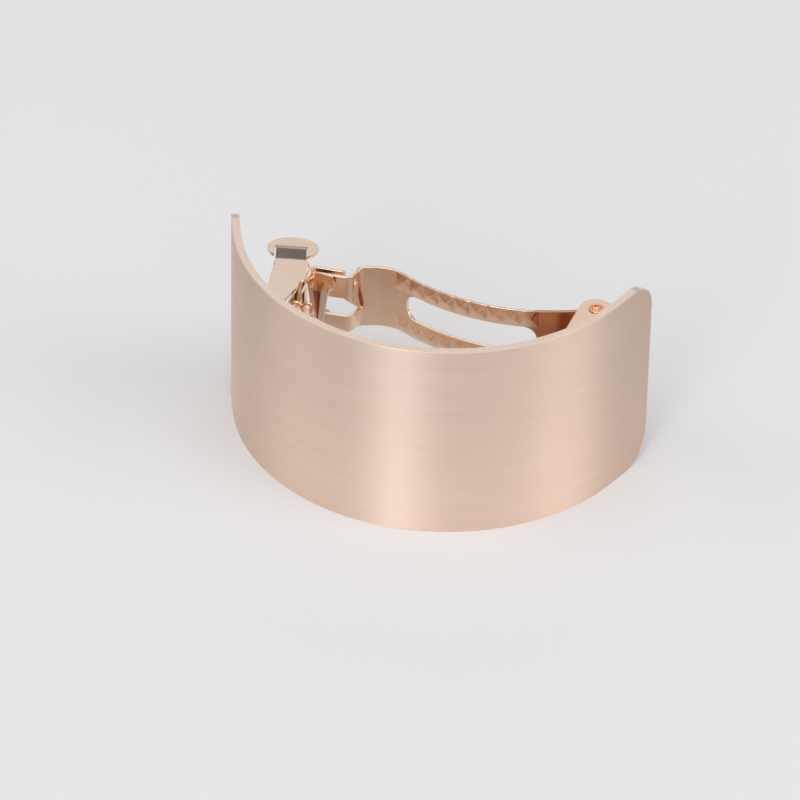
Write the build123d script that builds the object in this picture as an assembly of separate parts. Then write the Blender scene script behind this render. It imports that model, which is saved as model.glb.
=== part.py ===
from build123d import *
import os
from math import asin, atan2, cos, degrees, hypot, radians, sin, sqrt, tan

os.makedirs("parts", exist_ok=True)

# A hair clip: a curved face plate of sheet metal that stands on one long edge, and a
# spring clasp across its open back. Millimetres. X runs from end to end of the plate,
# Y from the plate's apex to the clasp, Z up. The clasp is symmetric about mid height.

# Face plate, bent from a flat blank of sheet metal
PLATE_HEIGHT = 35.0
PLATE_THICKNESS = 1.3
PLATE_RADIUS = 33.85
PLATE_HALF_ANGLE = 65.0
PLATE_END_RADIUS = 63.2
PLATE_END_ANGLE = 10.65
PLATE_CORNER_RADIUS = 5.8
PLATE_EDGE_ROUND = 0.3
PLATE_ARCS = 3

# Base bar: a bowed strip, straight at its ends, with a foot on each wall of the plate
BAR_THICKNESS = 0.8
BAR_WIDTH = 5.6
BAR_RADIUS = 41.0
BAR_LOW_Y = 18.1
BAR_BOW_HALF_SPAN = 19.0
BAR_END_SLOPE = 15.0
FOOT_LENGTH = 5.0
GLUE_GAP = 0.1
FOLD_FLAT = 0.05

# Hinge: two ears of the bar, the arm's rolled eye and a dimpled rivet through them
PIVOT_X = 24.85
PIVOT_Y = 34.0
EAR_RADIUS = 2.75
EAR_THICKNESS = 0.6
EAR_ROOT_LEFT_X = 21.3
EAR_ROOT_RIGHT_X = 28.0
EAR_SIDE_GAP = 0.25
RIVET_RADIUS = 1.0
RIVET_DIMPLE_RADIUS = 0.85
RIVET_DIMPLE_DEPTH = 0.5
RIVET_RIM_RADIUS = 1.25
RIVET_RIM_THICKNESS = 0.22
RIVET_RIM_ROUND = 0.15
RIVET_RIM_GAP = 0.05
RUNNING_GAP = 0.05

# Clasp arm: a bowed strip with toothed rails, a crest, a step down to a landing and an
# end that is folded back on the side away from the plate
ARM_THICKNESS = 0.6
ARM_WIDTH = 11.4
ARM_END_WIDTH = 10.8
ARM_RADIUS = 33.0
ARM_LOW_X = 8.6
ARM_BOW_END_X = -4.5
ARM_RISE_X = -5.2
ARM_CREST_RIGHT_X = -8.2
ARM_CREST_LEFT_X = -11.2
ARM_CREST_Y = 35.85
ARM_STEP_EDGE_X = -14.4
ARM_STEP_EDGE_Y = 34.75
ARM_STEP_RUN = 0.9
ARM_LANDING_Y = 32.03
ARM_RISE_BEND = 6.0
ARM_CREST_RIGHT_BEND = 6.5
ARM_CREST_LEFT_BEND = 4.0
STEP_EDGE_BEND = 1.3
STEP_FOOT_BEND = 1.0
ARM_FREE_END_X = -22.0
ARM_LANDING_DROP = 0.45
ARM_FOLD_DEPTH = 1.6
ARM_TAB_DEPTH = 1.3
ARM_TAB_END_X = -16.3
SLOT_LEFT_WIDTH = 4.9
SLOT_RIGHT_WIDTH = 4.8
SLOT_LEFT_X = -6.5
SLOT_RIGHT_X = 15.8
SLOT_CORNER_RADIUS = 2.2
WINDOW_WIDTH = 3.6
WINDOW_LEFT_X = -19.3
WINDOW_RIGHT_X = -14.5
WINDOW_CORNER_RADIUS = 1.2
TAB_OPENING_WIDTH = 6.8
TAB_OPENING_LEFT_X = -20.0

# Teeth embossed on the rails, on the face towards the plate
TEETH_PER_RAIL = 9
TOOTH_PITCH = 2.68
TOOTH_FIRST_X = -7.0
TOOTH_LENGTH = 2.55
TOOTH_WIDTH = 3.0
TOOTH_HEIGHT = 0.55
TOOTH_CREST = 0.3
TOOTH_EDGE_MARGIN = 0.1

# Catch spring: a web on the bar, two wings with finger pads and a latch tongue
SPRING_THICKNESS = 0.5
SPRING_GAP = 0.05
WEB_LEFT_X = -28.4
WEB_RIGHT_X = -19.3
WEB_HALF_WIDTH = 3.3
WEB_NECK_HALF_WIDTH = 2.5
WEB_NECK_LEFT_X = -24.3
WING_ROOT_X = -25.6
WING_TURN = 11.0
WING_START_ALONG = -3.0
WING_START_RISE = 2.41
WING_NECK_RISE = 6.35
WING_PAD_RISE = 7.9
WING_NECK_ALONG = 7.4
WING_PAD_ALONG = 8.6
WING_LENGTH = 10.9
WING_BEND = 0.5
PAD_HALF_WIDTH = 4.15
PAD_HALF_DEPTH = 2.8
PAD_ACROSS = 2.0
PAD_ALONG = 8.2
NECK_ACROSS = 1.75
NECK_HALF_WIDTH = 2.45
NECK_RELIEF = 0.15
TONGUE_HALF_WIDTH = 2.4
TONGUE_THICKNESS = 0.4
TONGUE_HEIGHT = 8.1
TONGUE_RETURN = 3.5
TONGUE_FOLD = 1.15
TONGUE_ARM_GAP = 0.35

# Clinch tabs that fold from the bar's edges over the spring's web
CLINCH_COUNT = 3
CLINCH_LENGTH = 1.15
CLINCH_PITCH = 1.55
CLINCH_FIRST_X = -19.9
CLINCH_THICKNESS = 0.6
CLINCH_BEND = 0.54
CLINCH_REACH = 1.2
CLINCH_GAP = 0.08

# Wing outline, from its root on the web to the neck under the pad, going round once
WING_OUTLINE = [
    # across, along
    (-1.0, -2.5),
    (-1.35, 3.0),
    (-0.7, 7.4),
    (-0.7, 9.9),
    (4.2, 9.9),
    (4.2, 7.4),
    (4.9, 6.2),
    (4.5, 4.0),
    (2.9, 1.9),
    (1.4, -0.2),
    (1.2, -2.5),
]

MID_Z = PLATE_HEIGHT / 2
ARM_HALF = ARM_WIDTH / 2
EAR_INNER_Z = ARM_HALF + EAR_SIDE_GAP
EAR_OUTER_Z = EAR_INNER_Z + EAR_THICKNESS
EYE_INNER_RADIUS = RIVET_RADIUS + RUNNING_GAP
EYE_MID_RADIUS = EYE_INNER_RADIUS + ARM_THICKNESS / 2
BAR_CENTRE_Y = BAR_LOW_Y + BAR_THICKNESS / 2 + BAR_RADIUS
ARM_CENTRE_Y = PIVOT_Y + sqrt((ARM_RADIUS + EYE_MID_RADIUS) ** 2 - (PIVOT_X - ARM_LOW_X) ** 2)


def plate_point(angle, inset):
    """A point of the plate's plan, `inset` inside its outer face, at a bend angle."""
    turn = radians(min(abs(angle), PLATE_HALF_ANGLE))
    x = (PLATE_RADIUS - inset) * sin(turn)
    y = PLATE_RADIUS - (PLATE_RADIUS - inset) * cos(turn)
    if abs(angle) > PLATE_HALF_ANGLE:
        end = radians(abs(angle))
        x += (PLATE_END_RADIUS - inset) * (sin(end) - sin(turn))
        y += (PLATE_END_RADIUS - inset) * (cos(turn) - cos(end))
    return (x if angle > 0 else -x, y)


def plate_curve(inset):
    """The plate's plan curve from its left end to its right end, as three arcs."""
    last = PLATE_HALF_ANGLE + PLATE_END_ANGLE
    middle = PLATE_HALF_ANGLE + PLATE_END_ANGLE / 2
    stops = [-last, -middle, -PLATE_HALF_ANGLE, 0, PLATE_HALF_ANGLE, middle, last]
    points = [plate_point(angle, inset) for angle in stops]
    return [ThreePointArc(*points[i:i + 3]) for i in (0, 2, 4)], points[0], points[-1]


def plate_band(outer_inset, inner_inset):
    """The plan face between two insets of the plate's outer curve."""
    outer, outer_left, outer_right = plate_curve(outer_inset)
    inner, inner_left, inner_right = plate_curve(inner_inset)
    ends = [Line(outer_left, inner_left), Line(outer_right, inner_right)]
    return make_face(Curve() + outer + inner + ends)


def strip(path, thickness, width):
    """Sheet metal that follows a plan path, `width` wide about mid height."""
    section = make_face(offset(path, amount=thickness / 2, side=Side.BOTH).edges())
    return extrude(section, amount=width / 2, both=True)


def curved_plate():
    """The face plate: a bent sheet with rounded corners and lightly rounded rims."""
    plate = extrude(plate_band(0, PLATE_THICKNESS), amount=PLATE_HEIGHT / 2, both=True)
    straight = plate.edges().filter_by(GeomType.LINE).group_by(Axis.Z)
    plate = fillet(straight[0] + straight[-1], PLATE_CORNER_RADIUS)
    sides = plate.faces().sort_by(SortBy.AREA)[-2 * PLATE_ARCS:]
    rims = []
    for edge in plate.edges():
        if sum(edge in face.edges() for face in sides) == 1:
            rims.append(edge)
    return fillet(rims, PLATE_EDGE_ROUND)


def bar_end_y(x):
    """Middle of the base bar's straight end at a distance from the centre."""
    bow_end_y = BAR_CENTRE_Y - sqrt(BAR_RADIUS ** 2 - BAR_BOW_HALF_SPAN ** 2)
    return bow_end_y + (abs(x) - BAR_BOW_HALF_SPAN) * tan(radians(BAR_END_SLOPE))


def bar_place(x):
    """A place on the middle of a straight end: its X runs along the bar, its Y to the arm."""
    slope = BAR_END_SLOPE if x > 0 else -BAR_END_SLOPE
    return Pos(x, bar_end_y(x)) * Rot(0, 0, slope)


def block(x_range, y_range, z_range):
    """A box between the limits on each axis."""
    size = [high - low for low, high in (x_range, y_range, z_range)]
    centre = [(high + low) / 2 for low, high in (x_range, y_range, z_range)]
    return Pos(*centre) * Box(*size)


def tangent_point(centre, radius, outside, side):
    """Where a line from an outside point touches a circle, on its left (1) or right (-1)."""
    dx, dy = outside[0] - centre[0], outside[1] - centre[1]
    reach = hypot(dx, dy)
    turn = atan2(dy, dx) + side * (radians(90) - asin(radius / reach))
    return (centre[0] + radius * cos(turn), centre[1] + radius * sin(turn))


def ear_plan():
    """Plan face of a hinge ear: from its root on the bar to a round end at the pivot."""
    left = (EAR_ROOT_LEFT_X, bar_end_y(EAR_ROOT_LEFT_X))
    right = (EAR_ROOT_RIGHT_X, bar_end_y(EAR_ROOT_RIGHT_X))
    left_touch = tangent_point((PIVOT_X, PIVOT_Y), EAR_RADIUS, left, -1)
    right_touch = tangent_point((PIVOT_X, PIVOT_Y), EAR_RADIUS, right, 1)
    tip = (PIVOT_X, PIVOT_Y + EAR_RADIUS)
    edges = [
        Line(right, left), Line(left, left_touch),
        ThreePointArc(left_touch, tip, right_touch), Line(right_touch, right),
    ]
    return make_face(Curve() + edges)


def hinge_ears():
    """Both ears with the wide root between them, bored for the rivet."""
    ear = Pos(0, 0, EAR_INNER_Z) * extrude(ear_plan(), amount=EAR_THICKNESS)
    ears = ear + mirror(ear, about=Plane.XY)
    middle_x = (EAR_ROOT_LEFT_X + EAR_ROOT_RIGHT_X) / 2
    length = (EAR_ROOT_RIGHT_X - EAR_ROOT_LEFT_X) / cos(radians(BAR_END_SLOPE))
    root = bar_place(middle_x) * Box(length, BAR_THICKNESS, 2 * EAR_OUTER_Z)
    bore = Pos(PIVOT_X, PIVOT_Y) * Cylinder(RIVET_RADIUS + RUNNING_GAP / 2, 4 * EAR_OUTER_Z)
    return ears + root - bore


def clinch_tab(x):
    """One tab from the bar's upper edge, folded over the web of the catch spring."""
    inner_z = WEB_NECK_HALF_WIDTH + CLINCH_GAP
    outer_z = inner_z + CLINCH_THICKNESS
    under = BAR_THICKNESS / 2 + SPRING_GAP + SPRING_THICKNESS + CLINCH_GAP
    along = (-CLINCH_LENGTH / 2, CLINCH_LENGTH / 2)
    side = block(along, (-BAR_THICKNESS / 2, under + CLINCH_THICKNESS), (inner_z, outer_z))
    top = block(along, (under, under + CLINCH_THICKNESS), (outer_z - CLINCH_REACH, outer_z))
    tab = side + top
    rims = tab.edges().filter_by(Axis.X).sort_by(lambda edge: edge.center().Y + edge.center().Z)
    return bar_place(x) * fillet(rims[-1:], CLINCH_BEND)


def base_bar():
    """The hidden bar that carries the clasp: bow, straight ends, feet, ears and tabs."""
    reach = PLATE_RADIUS + PLATE_THICKNESS
    bow_end_y = bar_end_y(BAR_BOW_HALF_SPAN)
    left, right = (-BAR_BOW_HALF_SPAN, bow_end_y), (BAR_BOW_HALF_SPAN, bow_end_y)
    middle = (0, BAR_CENTRE_Y - BAR_RADIUS)
    path = Curve() + [
        Line((-reach, bar_end_y(reach)), left), ThreePointArc(left, middle, right),
        Line(right, (reach, bar_end_y(reach))),
    ]
    bar = strip(path, BAR_THICKNESS, BAR_WIDTH)
    wall = PLATE_THICKNESS + GLUE_GAP
    inner, inner_left, inner_right = plate_curve(wall)
    inside = make_face(Curve() + inner + [Line(inner_right, inner_left)])
    bar = bar & extrude(inside, amount=PLATE_HEIGHT, both=True)
    feet = extrude(plate_band(wall, wall + BAR_THICKNESS), amount=BAR_WIDTH / 2, both=True)
    foot_top = bar_end_y(inner_right[0])
    foot_zone = block((-reach, reach), (foot_top - FOOT_LENGTH, foot_top), (-BAR_WIDTH, BAR_WIDTH))
    bar = bar + (feet & foot_zone) + hinge_ears()
    for index in range(CLINCH_COUNT):
        tab = clinch_tab(CLINCH_FIRST_X - index * CLINCH_PITCH)
        bar = bar + tab + mirror(tab, about=Plane.XY)
    return bar


def hinge_pin():
    """A rivet through both ears, with a rolled rim and a dimple at each end."""
    rim_z = EAR_OUTER_Z + RIVET_RIM_GAP
    end_z = rim_z + RIVET_RIM_THICKNESS
    rivet = Cylinder(RIVET_RADIUS, 2 * end_z)
    rim = Cylinder(RIVET_RIM_RADIUS, RIVET_RIM_THICKNESS)
    rim = fillet(rim.edges().group_by(Axis.Z)[-1], RIVET_RIM_ROUND)
    rim = Pos(0, 0, rim_z + RIVET_RIM_THICKNESS / 2) * rim
    rivet = rivet + rim + mirror(rim, about=Plane.XY)
    dimple = Cylinder(RIVET_DIMPLE_RADIUS, 2 * RIVET_DIMPLE_DEPTH)
    rivet = rivet - Pos(0, 0, end_z) * dimple - Pos(0, 0, -end_z) * dimple
    return Pos(PIVOT_X, PIVOT_Y) * rivet


def arm_bow_y(x):
    """Middle of the arm's bowed sheet."""
    return ARM_CENTRE_Y - sqrt(ARM_RADIUS ** 2 - (x - ARM_LOW_X) ** 2)


def arm_rise():
    """The straight rise from the arm's bow to its crest: the bow's end and the rise's corners."""
    bow_end = (ARM_BOW_END_X, arm_bow_y(ARM_BOW_END_X))
    slope = (ARM_LOW_X - ARM_BOW_END_X) / (ARM_CENTRE_Y - bow_end[1])
    foot = (ARM_RISE_X, bow_end[1] + (ARM_BOW_END_X - ARM_RISE_X) * slope)
    return bow_end, foot, (ARM_CREST_RIGHT_X, ARM_CREST_Y)


def arm_rail(x):
    """Middle of the toothed rails and their lean, on the bow or on the rise beyond it."""
    if x > ARM_RISE_X:
        return arm_bow_y(x), degrees(asin((x - ARM_LOW_X) / ARM_RADIUS))
    foot, crest = arm_rise()[1:]
    slope = (crest[1] - foot[1]) / (crest[0] - foot[0])
    return foot[1] + (x - foot[0]) * slope, degrees(atan2(slope, 1))


def arm_path():
    """The arm's plan line from its eye over the crest, down the step and round the fold."""
    share = EYE_MID_RADIUS / (ARM_RADIUS + EYE_MID_RADIUS)
    start = (PIVOT_X + (ARM_LOW_X - PIVOT_X) * share, PIVOT_Y + (ARM_CENTRE_Y - PIVOT_Y) * share)
    bow_end, rise_foot, crest = arm_rise()
    fold_y = ARM_LANDING_Y - ARM_LANDING_DROP
    end_x = ARM_FREE_END_X + ARM_THICKNESS / 2
    corners = [
        bow_end, rise_foot, crest, (ARM_CREST_LEFT_X, ARM_CREST_Y),
        (ARM_STEP_EDGE_X, ARM_STEP_EDGE_Y), (ARM_STEP_EDGE_X - ARM_STEP_RUN, ARM_LANDING_Y),
        (end_x, fold_y), (end_x, fold_y + ARM_FOLD_DEPTH),
        (ARM_TAB_END_X, ARM_LANDING_Y + ARM_TAB_DEPTH),
    ]
    fold_bend = (ARM_FOLD_DEPTH - FOLD_FLAT) / 2
    crest_bends = [ARM_RISE_BEND, ARM_CREST_RIGHT_BEND, ARM_CREST_LEFT_BEND]
    radii = crest_bends + [STEP_EDGE_BEND, STEP_FOOT_BEND, fold_bend, fold_bend]
    bow = ThreePointArc(start, (ARM_LOW_X, arm_bow_y(ARM_LOW_X)), bow_end)
    return Curve() + [bow, FilletPolyline(*corners, radius=radii)]


def arm_opening(left, right, corner_radius):
    """A cutter for an opening right through the arm: (x, width) at its left and right ends."""
    (left_x, left_width), (right_x, right_width) = left, right
    outline = make_face(Polyline(
        (left_x, -left_width / 2), (right_x, -right_width / 2),
        (right_x, right_width / 2), (left_x, left_width / 2), close=True,
    ))
    plan = fillet(outline.vertices(), corner_radius)
    return Pos(0, ARM_CENTRE_Y) * Rot(90, 0, 0) * extrude(plan, amount=2 * ARM_RADIUS)


def tooth(x):
    """One embossed tooth of the upper rail, standing on the face towards the plate."""
    crest_low = (TOOTH_LENGTH - TOOTH_CREST) / 2
    crest_high = (TOOTH_LENGTH + TOOTH_CREST) / 2
    ridge_low = (TOOTH_WIDTH - TOOTH_CREST) / 2
    ridge_high = (TOOTH_WIDTH + TOOTH_CREST) / 2
    body = Wedge(
        TOOTH_LENGTH, TOOTH_HEIGHT + ARM_THICKNESS / 2, TOOTH_WIDTH,
        crest_low, ridge_low, crest_high, ridge_high,
        align=(Align.CENTER, Align.MIN, Align.MAX),
    )
    y, lean = arm_rail(x)
    place = Pos(x, y, ARM_HALF - TOOTH_EDGE_MARGIN) * Rot(0, 0, lean) * Rot(0, 0, 180)
    return place * body


def clasp_arm():
    """The arm: rolled eye, toothed rails round a long slot, step, window and fold."""
    arm = strip(arm_path(), ARM_THICKNESS, ARM_WIDTH)
    eye = Cylinder(EYE_INNER_RADIUS + ARM_THICKNESS, ARM_WIDTH)
    arm = arm + Pos(PIVOT_X, PIVOT_Y) * eye
    arm = arm - Pos(PIVOT_X, PIVOT_Y) * Cylinder(EYE_INNER_RADIUS, 2 * ARM_WIDTH)
    for index in range(TEETH_PER_RAIL):
        bump = tooth(TOOTH_FIRST_X + index * TOOTH_PITCH)
        arm = arm + bump + mirror(bump, about=Plane.XY)
    slot_ends = (SLOT_LEFT_X, SLOT_LEFT_WIDTH), (SLOT_RIGHT_X, SLOT_RIGHT_WIDTH)
    window_ends = (WINDOW_LEFT_X, WINDOW_WIDTH), (WINDOW_RIGHT_X, WINDOW_WIDTH)
    arm = arm - arm_opening(*slot_ends, SLOT_CORNER_RADIUS)
    arm = arm - arm_opening(*window_ends, WINDOW_CORNER_RADIUS)
    tab_ends = (TAB_OPENING_LEFT_X, ARM_TAB_END_X + ARM_THICKNESS / 2)
    tab_behind = (ARM_LANDING_Y + ARM_THICKNESS, ARM_CENTRE_Y)
    arm = arm - block(tab_ends, tab_behind, (-TAB_OPENING_WIDTH / 2, TAB_OPENING_WIDTH / 2))
    wide = block((ARM_STEP_EDGE_X, BAR_RADIUS), (0, ARM_CENTRE_Y), (-ARM_HALF, ARM_HALF))
    end_half = ARM_END_WIDTH / 2
    narrow = block((-BAR_RADIUS, ARM_STEP_EDGE_X), (0, ARM_CENTRE_Y), (-end_half, end_half))
    return arm & (wide + narrow)


def wing():
    """The upper wing: a flared strip, a riser at its neck and an oval finger pad."""
    line = FilletPolyline(
        (WING_START_ALONG, WING_START_RISE), (WING_NECK_ALONG, WING_NECK_RISE),
        (WING_PAD_ALONG, WING_PAD_RISE), (WING_LENGTH, WING_PAD_RISE), radius=WING_BEND,
    )
    section = make_face(offset(line, amount=SPRING_THICKNESS / 2, side=Side.BOTH).edges())
    sheet = extrude(Plane.YZ * section, amount=WING_LENGTH, both=True)
    outline = make_face(Polyline(*WING_OUTLINE, close=True))
    stem = sheet & extrude(outline, amount=MID_Z, both=True)
    pad = extrude(Ellipse(PAD_HALF_WIDTH, PAD_HALF_DEPTH), amount=SPRING_THICKNESS / 2, both=True)
    pad = Pos(PAD_ACROSS, PAD_ALONG, WING_PAD_RISE) * pad
    relief = NECK_HALF_WIDTH + NECK_RELIEF
    notch = block(
        (NECK_ACROSS - relief, NECK_ACROSS + relief), (0, WING_PAD_ALONG),
        (WING_PAD_RISE - SPRING_THICKNESS, WING_PAD_RISE + SPRING_THICKNESS),
    )
    return Pos(WING_ROOT_X, bar_end_y(WING_ROOT_X)) * Rot(0, 0, WING_TURN) * (stem + (pad - notch))


def latch_tongue():
    """A folded tongue that stands just beyond the arm's free end."""
    right = ARM_FREE_END_X - TONGUE_ARM_GAP - TONGUE_THICKNESS / 2
    left = right - TONGUE_FOLD
    tip = bar_end_y(left) + TONGUE_HEIGHT
    line = FilletPolyline(
        (left, bar_end_y(left)), (left, tip), (right, tip), (right, tip - TONGUE_RETURN),
        radius=(TONGUE_FOLD - FOLD_FLAT) / 2,
    )
    return strip(line, TONGUE_THICKNESS, 2 * TONGUE_HALF_WIDTH)


def catch_spring():
    """The catch: a web under the clinch tabs, two wings and the latch tongue."""
    seat = BAR_THICKNESS / 2 + SPRING_GAP
    place = bar_place(WING_ROOT_X)
    slant = cos(radians(BAR_END_SLOPE))
    left, neck, right = [(x - WING_ROOT_X) / slant for x in (WEB_LEFT_X, WEB_NECK_LEFT_X, WEB_RIGHT_X)]
    levels = (seat, seat + SPRING_THICKNESS)
    web = block((left, neck), levels, (-WEB_HALF_WIDTH, WEB_HALF_WIDTH))
    web = web + block((left, right), levels, (-WEB_NECK_HALF_WIDTH, WEB_NECK_HALF_WIDTH))
    wings = wing()
    wings = wings + mirror(wings, about=Plane.XY) + latch_tongue()
    beyond = place * block((-BAR_RADIUS, BAR_RADIUS), (seat, BAR_RADIUS), (-MID_Z, MID_Z))
    return place * web + (wings & beyond)


def main():
    nodes = {
        "curved_plate": curved_plate(),
        "base_bar": base_bar(),
        "catch_spring": catch_spring(),
        "clasp_arm": clasp_arm(),
        "hinge_pin": hinge_pin(),
    }
    boxes = [shape.bounding_box() for shape in nodes.values()]
    middle_y = (min(box.min.Y for box in boxes) + max(box.max.Y for box in boxes)) / 2
    for name, shape in nodes.items():
        placed = Pos(0, -middle_y, MID_Z) * shape
        placed.label = name
        export_step(placed, f"parts/{name}.step")
    print("middle of the depth", round(middle_y, 3))


main()
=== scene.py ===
# %% [markdown]
# A hair clip, dressed for its photograph. It is one curved plate of brushed rose-gold sheet
# metal that stands on its long edge, with a polished spring clasp across its open back.
# The imported solids are loaded first, because some sizes and places below are read from them.

# %% Load the imported clip
import math
import bmesh
import bpy
from mathutils import Matrix, Quaternion, Vector


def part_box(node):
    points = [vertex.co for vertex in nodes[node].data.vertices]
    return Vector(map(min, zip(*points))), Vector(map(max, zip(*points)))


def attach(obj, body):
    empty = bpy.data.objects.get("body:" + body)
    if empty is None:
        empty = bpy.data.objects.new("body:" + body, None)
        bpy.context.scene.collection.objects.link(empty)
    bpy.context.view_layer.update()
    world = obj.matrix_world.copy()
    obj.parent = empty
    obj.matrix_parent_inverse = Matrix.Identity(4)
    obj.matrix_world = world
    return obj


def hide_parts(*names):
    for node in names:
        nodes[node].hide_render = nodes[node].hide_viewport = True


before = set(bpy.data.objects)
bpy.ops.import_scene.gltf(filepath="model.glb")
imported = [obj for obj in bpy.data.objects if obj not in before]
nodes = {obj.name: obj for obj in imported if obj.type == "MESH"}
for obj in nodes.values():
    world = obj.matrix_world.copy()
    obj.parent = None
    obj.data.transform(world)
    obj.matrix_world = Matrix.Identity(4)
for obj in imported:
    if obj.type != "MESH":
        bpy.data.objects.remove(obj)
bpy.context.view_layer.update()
MM = 0.001

# %% [markdown]
# The photograph was taken from above and a little to the right, with a long lens. The
# camera is placed by the direction it looks from, its distance and the point it looks at,
# and then rolled by about a degree, as a camera held by hand is.

# %% Camera
camera_azimuth = math.radians(15.407)
camera_elevation = math.radians(36.966)
camera_roll = math.radians(1.2555)
camera_distance = 1055.6 * MM
camera_target = Vector((-6.66, 14.07, 0)) * MM
toward_camera = Vector((
    math.sin(camera_azimuth) * math.cos(camera_elevation),
    -math.cos(camera_azimuth) * math.cos(camera_elevation),
    math.sin(camera_elevation),
))
camera_data = bpy.data.cameras.new("photo_camera")
camera_data.lens = 294.24
camera_data.sensor_width = 36
camera_data.clip_start = 0.01
camera = bpy.data.objects.new("photo_camera", camera_data)
bpy.context.scene.collection.objects.link(camera)
camera.location = camera_target + camera_distance * toward_camera
look = (-toward_camera).to_track_quat("-Z", "Y")
camera.rotation_mode = "QUATERNION"
camera.rotation_quaternion = look @ Quaternion((0, 0, 1), camera_roll)
bpy.context.scene.camera = camera
print("camera at", [round(v, 3) for v in camera.location])

# %% [markdown]
# The clip stands on a matt white table. A large plane takes its soft shadow, and it is also
# what the plate mirrors: the lens looks down, so the upright metal shows it the table.

# %% Table
def linear(red, green, blue):
    """A colour as it shows on a screen, from 0 to 255, turned into light values."""
    shares = [channel / 255 for channel in (red, green, blue)]
    return [s / 12.92 if s <= 0.04045 else ((s + 0.055) / 1.055) ** 2.4 for s in shares] + [1.0]


def new_material(name):
    """An empty node material and its Principled shader."""
    material = bpy.data.materials.new(name)
    material.use_nodes = True
    return material, material.node_tree.nodes["Principled BSDF"]


table_material, table_shader = new_material("white_table")
table_shader.inputs["Base Color"].default_value = linear(228, 227, 228)
table_shader.inputs["Roughness"].default_value = 0.65
table_shader.inputs["Specular IOR Level"].default_value = 0.25
table_mesh = bpy.data.meshes.new("table_top")
table_reach = 4.0
corners = [(x * table_reach, y * table_reach, 0) for x, y in ((-1, -1), (1, -1), (1, 1), (-1, 1))]
table_mesh.from_pydata(corners, [], [(0, 1, 2, 3)])
table_mesh.materials.append(table_material)
table_top = bpy.data.objects.new("table_top", table_mesh)
bpy.context.scene.collection.objects.link(table_top)
print("table top", table_reach * 2, "metres wide")

# %% [markdown]
# Metal shows what is around it, so the studio matters more than any paint. The surroundings
# are a white tent, brightest behind the photographer, dimmer overhead and a little brighter
# again at the back. The photographer and the lens are one small dark spot in it, and the
# polished metal shows that spot wherever it faces the lens.

# %% Tent
world = bpy.data.worlds.new("white_tent")
world.use_nodes = True
bpy.context.scene.world = world
bpy.context.scene.view_settings.view_transform = "Standard"
tent = world.node_tree
sky = tent.nodes.new("ShaderNodeTexCoord").outputs["Generated"]


def tent_angle(toward, low, high, from_low, from_high):
    """Brightness that follows how closely a direction points toward another one."""
    facing = tent.nodes.new("ShaderNodeVectorMath")
    facing.operation = "DOT_PRODUCT"
    facing.inputs[1].default_value = toward
    ranged = tent.nodes.new("ShaderNodeMapRange")
    ranged.inputs["From Min"].default_value = from_low
    ranged.inputs["From Max"].default_value = from_high
    ranged.inputs["To Min"].default_value = low
    ranged.inputs["To Max"].default_value = high
    tent.links.new(sky, facing.inputs[0])
    tent.links.new(facing.outputs["Value"], ranged.inputs["Value"])
    return ranged.outputs["Result"]


back_rise = 0.6
back_run = math.sqrt(1 - back_rise ** 2)
toward_back = (
    -math.sin(camera_azimuth) * back_run, math.cos(camera_azimuth) * back_run, back_rise)
stops = {
    0.05: 0.98, 0.25: 0.78, 0.40: 0.49, 0.50: 0.30,
    0.60: 0.24, 0.70: 0.30, 0.80: 0.42, 0.90: 0.485,
}
around = tent.nodes.new("ShaderNodeValToRGB")
ramp = around.color_ramp
for place, level in stops.items():
    ramp.elements.new(place).color = (level, level, level, 1)
ramp.elements.remove(ramp.elements[-1])
ramp.elements.remove(ramp.elements[0])
tent.links.new(tent_angle(toward_back, 0.0, 1.0, -1.0, 1.0), around.inputs["Fac"])
spot_level = 0.23
spot_edge, spot_core = math.cos(math.radians(12)), math.cos(math.radians(8))
spot = tent_angle(toward_camera, 1.0, spot_level, spot_edge, spot_core)
tent.links.new(around.outputs["Color"], tent.nodes["Background"].inputs["Color"])
tent.links.new(spot, tent.nodes["Background"].inputs["Strength"])
print("tent levels:", list(stops.values()))

# %% [markdown]
# Five soft boxes stand round the table. A narrow one left of the lens and a wide one on the
# right make the two bright bands on the curved plate. The left, top and back boxes fill. A
# small card hangs behind the top box, where the sloped wing of the catch finds it.

# %% Soft boxes
def soft_box(name, azimuth, elevation, distance, width, height, power, tint=(1, 1, 1)):
    """A large soft light that points at the clip from a direction."""
    data = bpy.data.lights.new(name, "AREA")
    data.shape = "RECTANGLE"
    data.size, data.size_y = width, height
    data.energy = power
    data.color = tint
    light = bpy.data.objects.new(name, data)
    bpy.context.scene.collection.objects.link(light)
    turn, rise = math.radians(azimuth), math.radians(elevation)
    away = Vector((
        math.sin(turn) * math.cos(rise), -math.cos(turn) * math.cos(rise), math.sin(rise)))
    light.location = away * distance
    light.rotation_euler = (-away).to_track_quat("-Z", "Y").to_euler()
    return light


boxes = [
    soft_box("narrow_box", -7.6, 38, 2.2, 0.55, 1.5, 10.1, (0.83, 0.93, 1.0)),
    soft_box("wide_box", 84, 35, 2.0, 1.2, 1.5, 10.1),
    soft_box("top_box", 15, 74, 2.0, 2.0, 1.2, 12.6),
    soft_box("left_box", -70, 38, 2.0, 1.2, 1.5, 5.6),
    soft_box("back_box", 195, 37, 2.0, 1.5, 1.2, 1.8),
    soft_box("overhead_card", 208, 78, 2.0, 1.0, 1.0, 1.1),
]
print("soft boxes:", [box.name for box in boxes])

# %% [markdown]
# Both finishes are drawn from the same few steps, so each step is a small function, and a
# finish below reads as a short recipe. The first step is noise, stretched along an axis: it
# gives long strokes on the brushed plate and round smudges on the polished clasp.

# %% Stretched noise
def node(tree, kind, **settings):
    """Adds a node and sets its plain settings."""
    made = tree.nodes.new(kind)
    for key_name, value in settings.items():
        setattr(made, key_name, value)
    return made


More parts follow.
